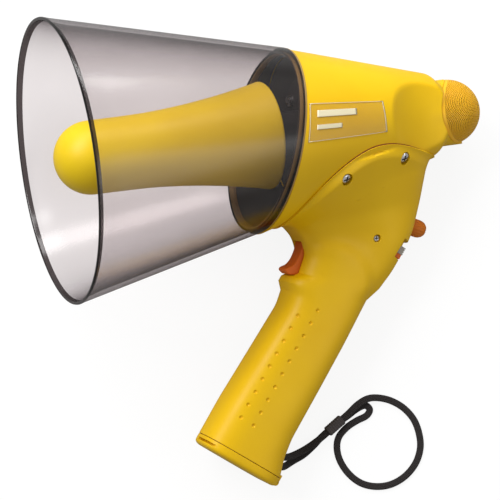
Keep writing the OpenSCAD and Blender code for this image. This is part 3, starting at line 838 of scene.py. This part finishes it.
def make_reflex_cone():
    """Bullet with a round nose that flares to an open bell, with its inner wall and three ribs."""
    nose = 19.8
    bell = [(20.1, -44), (20.7, -58), (22.5, -77), (25.2, -96), (28.2, -112), (30.0, -120)]
    bends = [math.radians(4 * i) for i in range(23)]
    arc = [(nose * math.sin(b), -nose + nose * math.cos(b)) for b in bends]
    flare = smooth_outline([arc[-1]] + bell, 6)[1:]
    outer = arc + flare
    rim = [(outer[-1][0] - 0.2, -120.5), (outer[-1][0] - 1.0, -120.7), (outer[-1][0] - 1.8, -120.4)]
    inner = [(max(r - 2.0, 0.0), x - 2.0 * max(0.0, 1 - r / nose)) for r, x in reversed(outer)]
    cone = lathe("reflex_bullet", outer + rim + inner, yellow_cone, 160, 50)
    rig.ride(cone, "body")
    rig.replaces(cone, "reflex_cone")
    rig.slot(cone, "yellow_plastic")
    parts = []
    for i in range(3):
        place = Matrix.Rotation(math.radians(120 * i + 90), 4, "X")
        parts.append(box_part(place, (-64, -1, 12.05), (-34, 1, 18.4)))
    ribs = solid("bullet_ribs", parts, yellow_cone, 30)
    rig.ride(ribs, "body")
    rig.slot(ribs, "yellow_plastic")


# ---- housing
BARREL_BLEND = (-221.0, -234.0)


def housing_radius(x, angle):
    cone = cone_r(x)
    fall = ramp(-x, -BARREL_BLEND[0], -BARREL_BLEND[1])
    cone = cone * (1 - fall) + (BARREL_R - 3.0) * fall
    along = max(x - SCOOP_X, 0.0)
    if along >= SCOOP_R - 1:
        return max(BARREL_R, cone)
    reach = SCOOP_SHIFT + BARREL_R + SCOOP_R - math.sqrt(SCOOP_R ** 2 - along ** 2)
    aside = SCOOP_SHIFT * abs(math.cos(angle))
    near = math.sqrt(aside ** 2 + reach ** 2 - SCOOP_SHIFT ** 2) - aside
    return smooth_max(BARREL_R, smooth_min(cone, near, 1.2), 0.8)


def tongue_x(angle, radius, extra=0.0):
    cx, cz, r = TONGUE
    high = radius * math.sin(angle) - cz
    return cx + math.sqrt(max((r + extra) ** 2 - high * high, 0.0))


def make_housing():
    steps = 150
    rings = []
    for k in range(steps + 1):
        ring = []
        for a in ANGLES:
            start = joint_x(a, JOINT_TAN, cone_r, GASKET)
            end = tongue_x(a, BARREL_R, 0.2)
            x = start + (end - start) * k / steps
            r = housing_radius(x, a)
            ring.append(around(x, r, a))
        rings.append(ring)
    inner = []
    for ring in rings:
        row = []
        for a, (x, y, z) in zip(ANGLES, ring):
            r = math.hypot(y, z) - WALL
            row.append(around(x, r, a))
        inner.append(row)
    housing = closed_tube("housing_shell", rings + list(reversed(inner)), yellow, 50)
    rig.ride(housing, "body")
    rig.replaces(housing, "rear_housing")
    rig.slot(housing, "yellow_plastic")


HOLE_PITCH = 1.33
HOLE_R = 0.46
SHEET_T = 0.5


def dome_point(run, angle, depth=0.0):
    """A point on the dome, by its distance from the pole along the surface."""
    quarter = DOME_R * math.pi / 2
    r = DOME_R - depth
    if run > quarter:
        return around(-DOME_BACK + run - quarter, r, angle)
    bend = run / DOME_R
    x = -DOME_BACK - r * math.cos(bend)
    return around(x, r * math.sin(bend), angle)


def dome_edge(angle):
    """The dome's whole run from the pole to the barrel's curved edge, at one angle."""
    return tongue_x(angle, DOME_R) + DOME_BACK + DOME_R * math.pi / 2


def hole_cells():
    """Middles of the perforated sheet's six-sided cells, on its flat pattern."""
    reach = DOME_R * math.pi / 2 + 24
    lines = int(reach / (HOLE_PITCH * 0.866))
    for row in range(-lines, lines + 1):
        for column in range(-lines, lines + 1):
            u = (column + 0.5 * (row % 2)) * HOLE_PITCH
            v = row * HOLE_PITCH * math.sqrt(0.75)
            if math.hypot(u, v) < dome_edge(math.atan2(v, u)) - 1.6:
                yield u, v


def cell_part(u, v):
    """One cell of the sheet: a six-sided face with a round hole and the hole's wall."""
    corner = HOLE_PITCH / math.sqrt(3)
    rings = []
    for kind, depth in (("edge", 0), ("hole", 0), ("hole", SHEET_T)):
        ring = []
        for i in range(12):
            a = math.radians(30 * i)
            far = corner if i % 2 else corner * math.cos(math.radians(30))
            r = far if kind == "edge" else HOLE_R
            x, y = u + r * math.cos(a), v + r * math.sin(a)
            ring.append(dome_point(math.hypot(x, y), math.atan2(y, x), depth))
        rings.append(ring)
    return grid(rings)


def dome_sheet(name, material, low, high, depth, steps=24):
    """A closed band of the dome between two distances from its edge; None stands for the pole."""
    rings = []
    for k in range(steps + 1):
        ring = []
        for a in ANGLES:
            inner = 0.02 if low is None else dome_edge(a) - low
            run = inner + (dome_edge(a) - high - inner) * k / steps
            ring.append(dome_point(run, a, depth))
        rings.append(ring)
    piece = link(name, mesh_from(name, *grid(rings, start_cap=low is None)), material, 60)
    thicken(piece, SHEET_T)
    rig.ride(piece, "body")
    return piece


def make_grille():
    """Perforated dome whose sides reach forward into the barrel, its rim band, and a dark orange sheet just behind it
    that paints shade into the holes.
    """
    mesh = joined_mesh("grille_dome", [cell_part(u, v) for u, v in hole_cells()])
    merge(mesh, 0.00002)
    grille = link("grille_dome", mesh, mesh_yellow, 30)
    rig.ride(grille, "body")
    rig.replaces(grille, "mic_grille")
    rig.slot(grille, "yellow_plastic")
    band = dome_sheet("grille_band", mesh_yellow, 2.6, 0.05, -0.04, 4)
    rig.slot(band, "yellow_plastic")
    # painted shade: a dark orange sheet just behind the perforated sheet, seen through the holes as their shadow
    lining = dome_sheet("grille_shade_sheet", painted_hole_shade, None, 0.6, SHEET_T + 0.1, 40)
    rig.slot(lining, "dark_plastic")


make_horn()
make_gasket()
make_spigot()
make_reflex_cone()
make_housing()
make_grille()

# ---- grip
GRIP_HALF = 17.5
GRIP_POWER = 0.625
# from the foot up: front (x, z), rear (x, z), half width, and how much wider the front is
SECTIONS = [
    ((-65.1, -159.5), (-104.6, -191.0), GRIP_HALF, 0),
    ((-71.4, -151.7), (-108.1, -181.0), GRIP_HALF, 0),
    ((-78.9, -142.3), (-114.1, -170.5), GRIP_HALF, 0),
    ((-100.4, -117.5), (-134.0, -145.5), GRIP_HALF, 0),
    ((-119.6, -95.2), (-151.3, -123.4), GRIP_HALF, 0),
    ((-123.3, -87.5), (-158.2, -114.2), GRIP_HALF, 0),
    ((-122.4, -82.1), (-164.2, -106.2), GRIP_HALF, 0),
    ((-124.4, -79.7), (-169.0, -100.0), GRIP_HALF, 0),
    ((-129.5, -78.2), (-177.8, -94.6), GRIP_HALF, 0),
    ((-134.6, -68.0), (-187.2, -85.6), 18, 0),
    ((-133.0, -60.4), (-199.5, -69.8), 19, 0),
    ((-132.2, -57.8), (-202.3, -65.5), 19.5, 0.05),
    ((-126.6, -50.5), (-209.0, -48.0), 22, 0.12),
    ((-121.0, -43.0), (-212.5, -36.0), 27, 0.2),
    ((-115.0, -36.0), (-216.5, -24.0), 32, 0.3),
    ((-108.0, -25.0), (-221.0, -10.0), 37.5, 0.35)]
# sections at the trigger's ledge, which stay sharp
CRISP = {5, 6, 7, 8}
# the grip's round upper end, in (s, t), where its sides stand above the neck
SHOULDER_S = -167.0
SHOULDER_R = 26.0
SHOULDER_T = -19.5
SHOULDER_DEPTH = 2.6
# the saddle's upper edge in side view, (x, z) from front to rear
SADDLE = [(-119, -50), (-127, -39.5), (-136, -30.5), (-145, -23.5), (-155, -17.8), (-165, -13.8),
          (-174, -12.2), (-184, -12.6), (-195, -15), (-206, -18.8), (-217, -22.8), (-223, -25)]
FLANGE_T = 1.1
FILLET = 7.0


def in_grip(s, t, y=0.0):
    """Matrix of a place on the grip: s to the front, t along it to the foot."""
    n = Vector((math.cos(SWEEP), 0, math.sin(SWEEP)))
    down = Vector((math.sin(SWEEP), 0, -math.cos(SWEEP)))
    place = Matrix((n, (0, 1, 0), -down)).transposed().to_4x4()
    place.translation = n * s + down * t + Vector((0, y, 0))
    return place


def ring_of(front, rear, half, taper, inset=0.0, count=96):
    """A squared-off oval between a front and a rear (x, z) point."""
    front, rear = Vector((front[0], 0, front[1])), Vector((rear[0], 0, rear[1]))
    middle = (front + rear) / 2
    reach = (front - rear) / 2
    depth = reach.length
    reach.normalize()
    ring = []
    for a in even_angles(count):
        pc = squared(math.cos(a), GRIP_POWER)
        ps = squared(math.sin(a), GRIP_POWER)
        y = (half - inset) * (1 + taper * pc) * ps
        ring.append(middle + reach * (depth - inset) * pc + Vector((0, y, 0)))
    return ring


def shouldered(point):
    """Sinks the neck's sides a little beyond the round upper end of the grip's tube."""
    s = point.x * math.cos(SWEEP) + point.z * math.sin(SWEEP)
    t = point.x * math.sin(SWEEP) - point.z * math.cos(SWEEP)
    beyond = math.hypot(s - SHOULDER_S, min(t - SHOULDER_T, 0.0)) - SHOULDER_R
    dip = SHOULDER_DEPTH * ramp(beyond, -4.0, 4.0) * (1 - ramp(beyond, 5.0, 26.0))
    dip *= ramp(abs(point.y), 8.0, 15.0) * ramp(SHOULDER_T - t, 0.0, 10.0)
    return Vector((point.x, point.y - math.copysign(dip, point.y), point.z))


def grip_rings():
    """Sections of the grip with even ones between them, softened along it except at the trigger's ledge."""
    rings, crisp = [], set()
    for k, (near, far) in enumerate(zip(SECTIONS, SECTIONS[1:])):
        steps = max(1, round((Vector(near[0]) - Vector(far[0])).length / 2.0))
        if k in CRISP:
            crisp.add(len(rings))
        for i in range(steps):
            u = i / steps
            front, rear = (Vector(near[item]).lerp(Vector(far[item]), u) for item in (0, 1))
            half, taper = (near[item] * (1 - u) + far[item] * u for item in (2, 3))
            rings.append(ring_of(front, rear, half, taper))
    rings.append(ring_of(*SECTIONS[-1]))
    for _ in range(2):
        softened = []
        for k, ring in enumerate(rings):
            if k in crisp or k in (0, len(rings) - 1):
                softened.append(ring)
                continue
            softened.append([(a + b * 2 + c) / 4 for a, b, c in zip(rings[k - 1], ring, rings[k + 1])])
        rings = softened
    return [[shouldered(p) for p in ring] for ring in rings]


def loft_surface():
    """Points and faces of the grip's loft before it is cut, in the design frame."""
    return capped(grip_rings())


FLANGE_SCREW_X = (-150.4, -190.8)
FLANGE_SCREW_TURN = math.radians(-37.2)


def flange_screw_places():
    places = []
    for side in (1, -1):
        for x in FLANGE_SCREW_X:
            turn = Matrix.Rotation(FLANGE_SCREW_TURN, 4, "X")
            put = Matrix.Translation((x, cone_r(x), 0))
            tip = Matrix.Rotation(HOUSING_ANGLE, 4, "Z") @ Matrix.Rotation(math.radians(-90), 4, "X")
            mirror = Matrix.Scale(side, 4, (0, 1, 0))
            places.append(mirror @ turn @ put @ tip)
    return places


def flange_screw_seats():
    """Cutters for the round seats round the flange screws' heads."""
    return [turned_part([(3.5, 0.9), (3.8, 16)], place, 48) for place in flange_screw_places()]


SHELL_SCREWS = [(-174.8, -64.4, 1), (-147.5, -103.5, -1)]
TRIGGER_HALF = 5.5


def shell_screw_places():
    """The upper one goes in from the left side, the lower one from the right."""
    places = []
    for x, z, side in SHELL_SCREWS:
        turn = Matrix.Rotation(math.radians(-90 * side), 4, "X")
        places.append(Matrix.Translation((x, side * 15.5, z)) @ turn)
    return places


DIMPLE_R = 1.25


def dimple_places():
    """Two rows of small grip dimples on each side, in (s, first t, count, pitch)."""
    loft = BVHTree.FromPolygons(*loft_surface())
    rows = [(-158.4, 1.96, 9, 8.06), (-166.7, -6.1, 10, 8.1)]
    for side in (1, -1):
        for s, first, count, pitch in rows:
            for i in range(count):
                place = in_grip(s, first + pitch * i, side * 60).translation
                skin = loft.ray_cast(place, Vector((0, -side, 0)))[0]
                yield skin + Vector((0, side * 0.45, 0))


def ball_part(middle, radius, segments=12):
    rings = []
    for k in range(1, segments):
        a = math.pi * k / segments
        ring = []
        for b in even_angles(16):
            x = radius * math.sin(a) * math.cos(b)
            z = radius * math.sin(a) * math.sin(b)
            ring.append(middle + Vector((x, radius * math.cos(a), z)))
        rings.append(ring)
    return capped(rings)


def saddle_curve():
    return smooth_outline(SADDLE, 5)


def make_grip():
    """Both shells and the neck as one piece, cut by the housing, with its pockets, seats and dimples."""
    mesh = mesh_from("grip_shell", *loft_surface())
    grip = link("grip_shell", mesh, yellow, 50)
    curve = [(x, z - FILLET) for x, z in saddle_curve()]
    limit = [(-60, -210), (-60, -50)] + curve + [(-232, -28), (-232, -210)]
    boolean(grip, prism_mesh("limit", limit, -60, 60), "INTERSECT")
    under = FLANGE_T + 1.4
    cone = [[around(x, cone_r(x) + under, a) for a in ANGLES]
            for x in (-80, -260)]
    boolean(grip, mesh_from("cone", *grid(cone, start_cap=True, end_cap=True)))
    pocket = [(-134, -60.9), (-150, -64.2), (-150, -84.1), (-120, -77.95), (-120, -61.5)]
    boolean(grip, prism_mesh("pocket", pocket, -TRIGGER_HALF - 0.4, TRIGGER_HALF + 0.4))
    turned_cuts = flange_screw_seats()
    for place in shell_screw_places():
        turned_cuts.append(turned_part([(2.2, -0.1), (2.3, 9)], place, 40))
    turned_cuts.append(turned_part([(3.3, -6), (3.3, 6)], knob_place(), 32))
    cut(grip, turned_cuts)
    boxes = [box_part(in_grip(-198.5, 75.2), (-5, -4.8, -6.2), (5, 4.8, 6.2)),
             box_part(switch_place(), (-6, -3.2, -6.6), (6, 13.8, 4.4))]
    cut(grip, boxes)
    cut(grip, [ball_part(p, DIMPLE_R) for p in dimple_places()])
    shade(grip, 35)
    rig.ride(grip, "body")
    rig.replaces(grip, "handle_left", "handle_right")
    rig.slot(grip, "yellow_plastic")


def make_flange():
    """The saddle's thin wings, wrapped round the housing and swept into the neck with a fillet."""
    loft = BVHTree.FromPolygons(*loft_surface())
    rows = []
    for x, top in saddle_curve():
        r = cone_r(x) + FLANGE_T
        start = math.asin(max(min(top / r, 1.0), -1.0))
        span = -math.pi - 2 * start
        rows.append([(x, r, start + span * i / 150) for i in range(151)])
    outer, inner = [], []
    for row in rows:
        ring = []
        for i, (x, r, a) in enumerate(row):
            from_edge = min(i, 150 - i) * abs(row[1][2] - row[0][2]) * r
            away = Vector((0, math.cos(a), math.sin(a)))
            hit = loft.ray_cast(Vector((x, 0, 0)) + away * 90, -away)[0]
            reach = math.hypot(hit.y, hit.z) if hit and hit.dot(away) > 0 else 0.0
            if 0 < reach < r + 8:
                r += (smooth_max(r, reach, FILLET) - 0.03 - r) * ramp(from_edge, 0.0, FILLET)
            ring.append(around(x, r, a))
        outer.append(ring)
        inner.append([around(x, cone_r(x) + 0.05, a) for x, _, a in row])
    rings = [o + list(reversed(i)) for o, i in zip(outer, inner)]
    mesh = mesh_from("saddle_flange", *capped(rings))
    flange = link("saddle_flange", mesh, yellow, 35)
    cut(flange, flange_screw_seats())
    shade(flange, 35)
    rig.ride(flange, "body")
    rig.slot(flange, "yellow_plastic")
    seams = []
    for side in (1, -1):
        rings = []
        for x, top in saddle_curve():
            r = cone_r(x) + 0.1
            a = math.asin(max(min(top / r, 1.0), -1.0)) + 0.35 / r
            middle = Vector((x, side * r * math.cos(a), r * math.sin(a)))
            away = Vector((0, side * math.cos(a), math.sin(a)))
            along = Vector((0, -side * math.sin(a), math.cos(a)))
            turns = even_angles(8)
            rings.append([middle + (away * math.cos(b) + along * math.sin(b)) * 0.5 for b in turns])
        seams.append(capped(rings))
    seam = solid("saddle_seam", seams, seam_dark, 60)
    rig.ride(seam, "body")
    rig.slot(seam, "dark_rubber")


def tilted_place(x, y, z, degrees):
    """A place on the rear of the neck whose z axis points out of it."""
    place = Matrix.Rotation(math.radians(-90 - degrees), 4, "Y")
    place.translation = Vector((x, y, z))
    return place


def knob_place():
    return tilted_place(-203.8, 0, -62, 25)


def switch_place():
    return tilted_place(-194.6, 6, -75.8, 38)


def make_screw(name, place, radius, height, bit, half, material):
    """Domed cross-recess head, with painted shade: a black piece at the bottom of the cross stands in for the shadow
    in the recess.
    """
    dome = [(radius, 0), (radius, height * 0.45), (radius * 0.93, height * 0.7),
            (radius * 0.75, height * 0.88), (radius * 0.45, height * 0.97), (0.05, height)]
    screw = solid(name, [turned_part(dome, place, 40)], material)
    floor = height * 0.4
    # painted shade: thin black slabs at the recess floor darken the cross as its shadow would
    recess_shade_boxes = []
    for long, wide in ((bit, half), (half, bit)):
        cut(screw, [box_part(place, (-long, -wide, floor), (long, wide, height * 1.5))])
        recess_shade_boxes.append(box_part(place, (-long, -wide, floor - 0.05), (long, wide, floor + 0.12)))
    shade(screw, 35)
    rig.ride(screw, "body")
    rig.slot(screw, "screw_steel")
    # painted shade: the black cross at the recess floor stands in for the shadow inside it
    cross = solid(name + "_recess_shade", recess_shade_boxes[:1], black)
    boolean(cross, joined_mesh("arm", recess_shade_boxes[1:]), "UNION")
    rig.ride(cross, "body")
    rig.slot(cross, "dark_plastic")
    return screw


def make_stem(name, place, radius, low, high, material):
    shank = turned_part([(radius, low), (radius, high)], place, 24)
    stem = link(name, joined_mesh("stem", [shank]), material, 35)
    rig.ride(stem, "body")
    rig.slot(stem, "screw_steel")


def make_screws():
    for number, place in enumerate(flange_screw_places()):
        head_at = place @ Matrix.Translation((0, 0, 1.3))
        screw = make_screw(f"flange_screw_{number}", head_at, 3.1, 2.0, 2.1, 0.5, chrome)
        if number == 0:
            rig.replaces(screw, "flange_screws")
        make_stem(f"flange_screw_stem_{number}", place, 1.55, -6, 1.4, chrome)
    for number, place in enumerate(shell_screw_places()):
        screw = make_screw(f"shell_screw_{number}", place, 1.95, 1.5, 1.2, 0.32, plain_steel)
        if number == 0:
            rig.replaces(screw, "shell_screws")
        make_stem(f"shell_screw_stem_{number}", place, 1.5, -28, 0.1, plain_steel)


def make_trigger():
    """Hooked trigger with a hollow front face and rounded edges."""
    outline = [(-134.8, -61.5), (-133.9, -64), (-132.6, -67), (-130.2, -70.8), (-127, -73.6),
               (-123.4, -74.7), (-122.6, -76.2), (-124.3, -78.4), (-142, -82.1), (-142, -63)]
    front = smooth_outline(outline[:8], 4)
    mesh = prism_mesh("trigger_lever", front + outline[8:], -TRIGGER_HALF, TRIGGER_HALF)
    trigger = link("trigger_lever", mesh, orange, 35)
    bevel(trigger, 0.9, 4, 50)
    shade(trigger, 60)
    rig.ride(trigger, "trigger")
    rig.replaces(trigger, "trigger")
    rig.slot(trigger, "orange_plastic")


HINGE = (-199, 87.3)


def make_cover():
    """Battery cover: a rounded foot plate with its hinge knuckle, hook and coin slot."""
    foot_front, foot_rear = Vector(SECTIONS[0][0]), Vector(SECTIONS[0][1])
    down = Vector((math.sin(SWEEP), -math.cos(SWEEP)))
    rings = []
    for t, inset in ((0.3, 0.25), (0.5, 0.0), (3.6, 0.0), (4.4, 0.15), (5.1, 0.6), (5.6, 1.3), (6.0, 2.4)):
        rings.append(ring_of(foot_front + down * t, foot_rear + down * t, GRIP_HALF, 0, inset))
    mesh = mesh_from("cover_plate", *capped(rings))
    cover = link("cover_plate", mesh, yellow, 40)
    cuts = [box_part(in_grip(-202, 87.3), (-5.5, -9.8, -5), (5.5, 9.8, 5)),
            box_part(in_grip(-150.5, 86.9), (-4, -4, -0.65), (4, 18, 0.65))]
    cut(cover, cuts)
    shade(cover, 40)
    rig.ride(cover, "battery_cover")
    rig.replaces(cover, "battery_cover")
    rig.slot(cover, "yellow_plastic")
    hinge_at = in_grip(*HINGE) @ Matrix.Rotation(math.radians(90), 4, "X")
    hook = box_part(in_grip(-154.2, 84), (-0.8, -4, -1), (0.8, 4, 4))
    web = box_part(in_grip(*HINGE), (0, -5, -1.5), (3.2, 5, 1.5))
    knuckle = turned_part([(1.7, -5), (1.9, -4.7), (1.9, 4.7), (1.7, 5)], hinge_at, 40)
    for name, part in (("cover_hook", hook), ("cover_knuckle", knuckle), ("cover_web", web)):
        piece = solid(name, [part], yellow)
        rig.ride(piece, "battery_cover")
        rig.slot(piece, "yellow_plastic")
    lugs = []
    for side in (1, -1):
        at = Matrix.Translation((0, side * 7.4, 0)) @ hinge_at
        lugs.append(turned_part([(1.7, -2), (1.9, -1.8), (1.9, 1.8), (1.7, 2)], at, 40))
        lugs.append(box_part(in_grip(*HINGE, side * 7.4), (-1.5, -2, 0), (1.5, 2, 5)))
    piece = solid("hinge_lugs", lugs, yellow)
    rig.ride(piece, "body")
    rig.slot(piece, "yellow_plastic")
    seam_rings = []
    for t in (-0.6, 0.22):
        seam_rings.append(ring_of(foot_front + down * t, foot_rear + down * t, GRIP_HALF, 0, 0.35))
    seam = link("foot_seam", mesh_from("foot_seam", *grid(seam_rings)), seam_dark, 40)
    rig.ride(seam, "body")
    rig.slot(seam, "dark_rubber")


def make_knob():
    """Volume knob with a fluted rim and a pointer groove."""
    place = knob_place()
    profile = [(0.05, 0.5, 0), (4.8, 0.5, 0), (5.2, 0.9, 1), (5.2, 6.2, 1), (4.9, 7.7, 0.8), (4.3, 9.0, 0.5),
               (3.4, 10.0, 0.2), (2.3, 10.6, 0), (1.2, 10.9, 0), (0.05, 11, 0)]
    rings = []
    for radius, height, flute in profile:
        ring = []
        for a in even_angles(144):
            r = radius - 0.22 * flute * (0.5 - 0.5 * math.cos(18 * a))
            ring.append(place @ Vector((r * math.cos(a), r * math.sin(a), height)))
        rings.append(ring)
    knob = link("volume_dial", mesh_from("volume_dial", *capped(rings)), knob_orange, 50)
    cut(knob, [box_part(place, (-0.4, 1.5, 9), (0.4, 6.5, 13))])
    shade(knob, 45)
    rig.ride(knob, "volume_knob")
    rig.replaces(knob, "volume_knob")
    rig.slot(knob, "orange_plastic")


def make_switch():
    """Slide switch at its low end: a ribbed grey cap over an orange lower part, on one stem."""
    place = switch_place() @ Matrix.Translation((-2, 0, 0))
    cap = [box_part(place, (-0.9, -2.9, -6.5), (3.7, 7.2, -1.9))]
    grey = solid("switch_cap", cap, switch_grey)
    for i in range(3):
        groove = 0.1 + i * 1.2
        cut(grey, [box_part(place, (groove, -4, -2.3), (groove + 0.5, 9, 0))])
    bevel(grey, 0.25, 2)
    foot = [box_part(place, (-3.7, -2.9, -6.5), (-0.9, 7.2, -2.3))]
    low = solid("switch_foot", foot, orange)
    bevel(low, 0.4, 3)
    stem = solid("switch_stem", [box_part(place, (-1.4, -1.4, -7.3), (1.4, 1.4, -4.4))], black)
    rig.replaces(grey, "switch_lever")
    for piece, slot in ((grey, "slider_plastic"), (low, "orange_plastic"), (stem, "dark_plastic")):
        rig.ride(piece, "switch_lever")
        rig.slot(piece, slot)


FILM_T = 0.1


def label_point(u, v, lift):
    """A place on the label: u from its front edge to its rear, v from its lower edge to its upper."""
    x = (1 - u) * (-124.8 * (1 - v) - 129.6 * v) - 179 * u
    a = math.radians((1 - u) * (-5.2 * (1 - v) + 19.2 * v) + u * (-8 * (1 - v) + 20 * v))
    r = cone_r(x) + lift
    return around(x, r, a)


def label_patch(name, low, high, lift, material, slot):
    rows = []
    for i in range(25):
        u = low[0] + (high[0] - low[0]) * i / 24
        rows.append([label_point(u, low[1] + (high[1] - low[1]) * j / 24, lift) for j in range(25)])
    piece = link(name, mesh_from(name, *grid(rows, closed=False)), material, 60)
    thicken(piece, FILM_T)
    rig.ride(piece, "body")
    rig.slot(piece, slot)
    return piece


def make_label():
    """Blank clear label on the housing's side, with a thin frame line and two plain bars."""
    film_piece = label_patch("label_patch", (0, 0), (1, 1), 0.3, label_film, "clear_label")
    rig.replaces(film_piece, "name_plate")
    bars = {
        "label_bar_wide": ((0.1, 0.62), (0.62, 0.8)), "label_bar_short": ((0.1, 0.3), (0.42, 0.42)),
        "label_line_low": ((0.01, 0.01), (0.99, 0.025)), "label_line_high": ((0.01, 0.975), (0.99, 0.99)),
        "label_line_front": ((0.008, 0.01), (0.016, 0.99)),
        "label_line_rear": ((0.984, 0.01), (0.992, 0.99))}
    for name, (low, high) in bars.items():
        label_patch(name, low, high, 0.36, label_ink, "clear_label")


make_grip()
make_flange()
make_screws()
make_trigger()
make_cover()
make_knob()
make_switch()
make_label()

# ---- carried-over CAD nodes
CAD_LOOKS = {
    "sound_tube": dark, "throat_baffle": dark, "baffle_screws": chrome, "driver_frame": dark,
    "driver_magnet": plain_steel, "driver_diaphragm": film, "mic_foam": foam_black,
    "mic_capsule": plain_steel,
    "mic_holder": dark, "amp_board": board_green, "board_parts": black,
    "trigger_spring": plain_steel, "talk_switch": black, "pot_shaft": plain_steel, "volume_pot": black,
    "switch_body": black, "battery_cells": cell_jacket, "upper_contacts": plain_steel,
    "lower_contacts": plain_steel, "cell_springs": plain_steel, "hinge_pin": plain_steel,
    "strap_bar": plain_steel}
for node_name, look in CAD_LOOKS.items():
    for slot_entry in frame["nodes"][node_name].material_slots:
        slot_entry.material = look

low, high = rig.bounds()
with open("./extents.json", "w") as out:
    json.dump({"cad": [list(cad_low), list(cad_high)], "visual": [list(low), list(high)]}, out)
